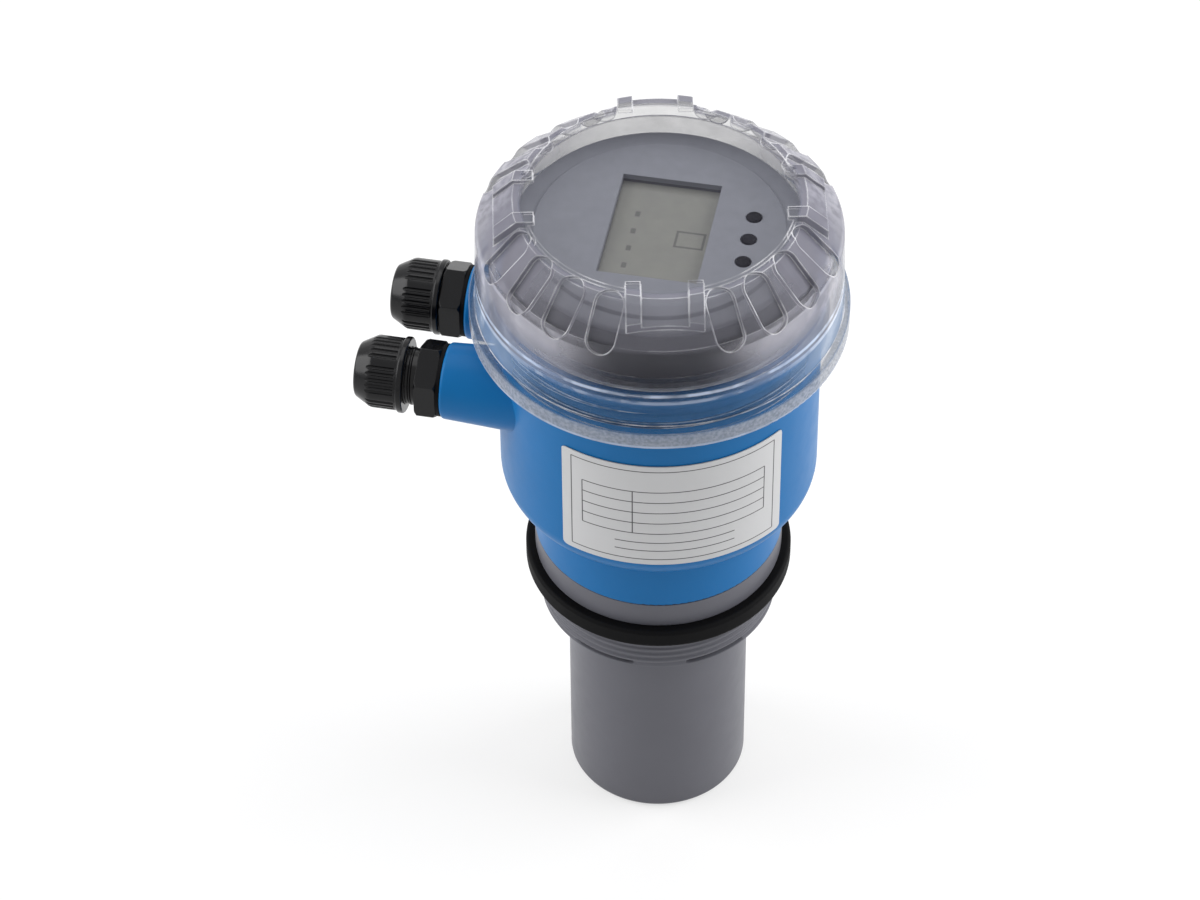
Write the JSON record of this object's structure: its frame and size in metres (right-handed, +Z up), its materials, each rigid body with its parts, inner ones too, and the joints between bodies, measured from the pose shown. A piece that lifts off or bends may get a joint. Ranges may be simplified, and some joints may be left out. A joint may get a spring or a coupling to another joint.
{
  "type": "ultrasonic level transmitter",
  "caption": "Level transmitter with a clear screw cap over a round display, blue drum housing, two side cable glands, and a grey threaded probe with a tube below.",
  "frame": {"origin": "centre of the radiating face at the lower end of the probe tube, which the part stands on", "axes": "+Z up along the probe and housing axis; the two cable glands point to -X; the display's panel is square to X and Y with its buttons on the +X side; the nameplate is on the -Y side, turned a little to +X"},
  "size_m": [0.1181, 0.092, 0.198],
  "materials": {
    "blue_plastic": "satin moulded polyester, bright blue",
    "clear_plastic": "clear polycarbonate",
    "grey_plastic": "moulded grey plastic",
    "display_grey": "fine matt grey plastic",
    "black_nylon": "satin black nylon",
    "black_rubber": "matt black rubber",
    "pale_silicone": "pale translucent silicone",
    "lcd": "green-grey liquid crystal glass",
    "label": "silver-grey film",
    "board_green": "solder mask",
    "terminal_green": "moulded terminal",
    "steel": "zinc plated",
    "ceramic": "piezo ceramic",
    "epoxy": "filled epoxy",
    "cork": "cork and foam",
    "lead_grey": "lead sheath"
  },
  "bodies": {
    "housing": {"housing": "blue_plastic", "nameplate": "label", "display_case": "display_grey", "lcd_panel": "lcd", "display_board": "board_green", "display_screws": "steel", "main_board": "board_green", "board_screws": "steel", "terminal_block": "terminal_green", "terminal_screws": "steel", "display_ribbon": "lead_grey", "sensor_body": "grey_plastic", "process_gasket": "black_rubber", "probe_seal": "black_rubber", "matching_layer": "epoxy", "piezo_disc": "ceramic", "backing_pad": "cork", "transducer_lead": "lead_grey", "gland_front_washer": "black_rubber", "gland_front_body": "black_nylon", "gland_rear_washer": "black_rubber", "gland_rear_body": "black_nylon"},
    "clear_cap": {"clear_cap": "clear_plastic"},
    "cap_seal": {"cap_seal": "pale_silicone"},
    "button_1": {"button_1": "black_rubber"},
    "button_2": {"button_2": "black_rubber"},
    "button_3": {"button_3": "black_rubber"},
    "gland_front_insert": {"gland_front_insert": "black_rubber"},
    "gland_front_nut": {"gland_front_nut": "black_nylon"},
    "gland_rear_insert": {"gland_rear_insert": "black_rubber"},
    "gland_rear_nut": {"gland_rear_nut": "black_nylon"}
  },
  "joints": [
    {"name": "cap_lift", "type": "slide", "parent": "housing", "child": "cap_seal", "axis": [0, 0, 1], "range_m": [0, 0.01]},
    {"name": "cap_turn", "type": "hinge", "parent": "cap_seal", "child": "clear_cap", "pos_m": [0, 0, 0.165], "axis": [0, 0, 1], "range_deg": [0, 900]},
    {"name": "gland_front_travel", "type": "slide", "parent": "housing", "child": "gland_front_insert", "axis": [-1, 0, 0], "range_m": [-0.0026, 0.0028]},
    {"name": "gland_front_turn", "type": "hinge", "parent": "gland_front_insert", "child": "gland_front_nut", "pos_m": [-0.0658, -0.0142, 0.1405], "axis": [-1, 0, 0], "range_deg": [-666.38, 717.45]},
    {"name": "gland_rear_travel", "type": "slide", "parent": "housing", "child": "gland_rear_insert", "axis": [-1, 0, 0], "range_m": [0, 0.0056]},
    {"name": "gland_rear_turn", "type": "hinge", "parent": "gland_rear_insert", "child": "gland_rear_nut", "pos_m": [-0.0631, 0.0142, 0.1405], "axis": [-1, 0, 0], "range_deg": [0, 1432.34]},
    {"name": "button_1_press", "type": "slide", "parent": "housing", "child": "button_1", "axis": [0, 0, -1], "range_m": [0, 0.00035], "stiffness_N_per_m": 600},
    {"name": "button_2_press", "type": "slide", "parent": "housing", "child": "button_2", "axis": [0, 0, -1], "range_m": [0, 0.00035], "stiffness_N_per_m": 600},
    {"name": "button_3_press", "type": "slide", "parent": "housing", "child": "button_3", "axis": [0, 0, -1], "range_m": [0, 0.00035], "stiffness_N_per_m": 600}
  ],
  "couplings": [
    {"joint": "cap_lift", "follows": "cap_turn", "m_per_rad": 0.00063662},
    {"joint": "gland_front_turn", "follows": "gland_front_travel", "rad_per_m": 4456.2},
    {"joint": "gland_rear_turn", "follows": "gland_rear_travel", "rad_per_m": 4456.2}
  ]
}
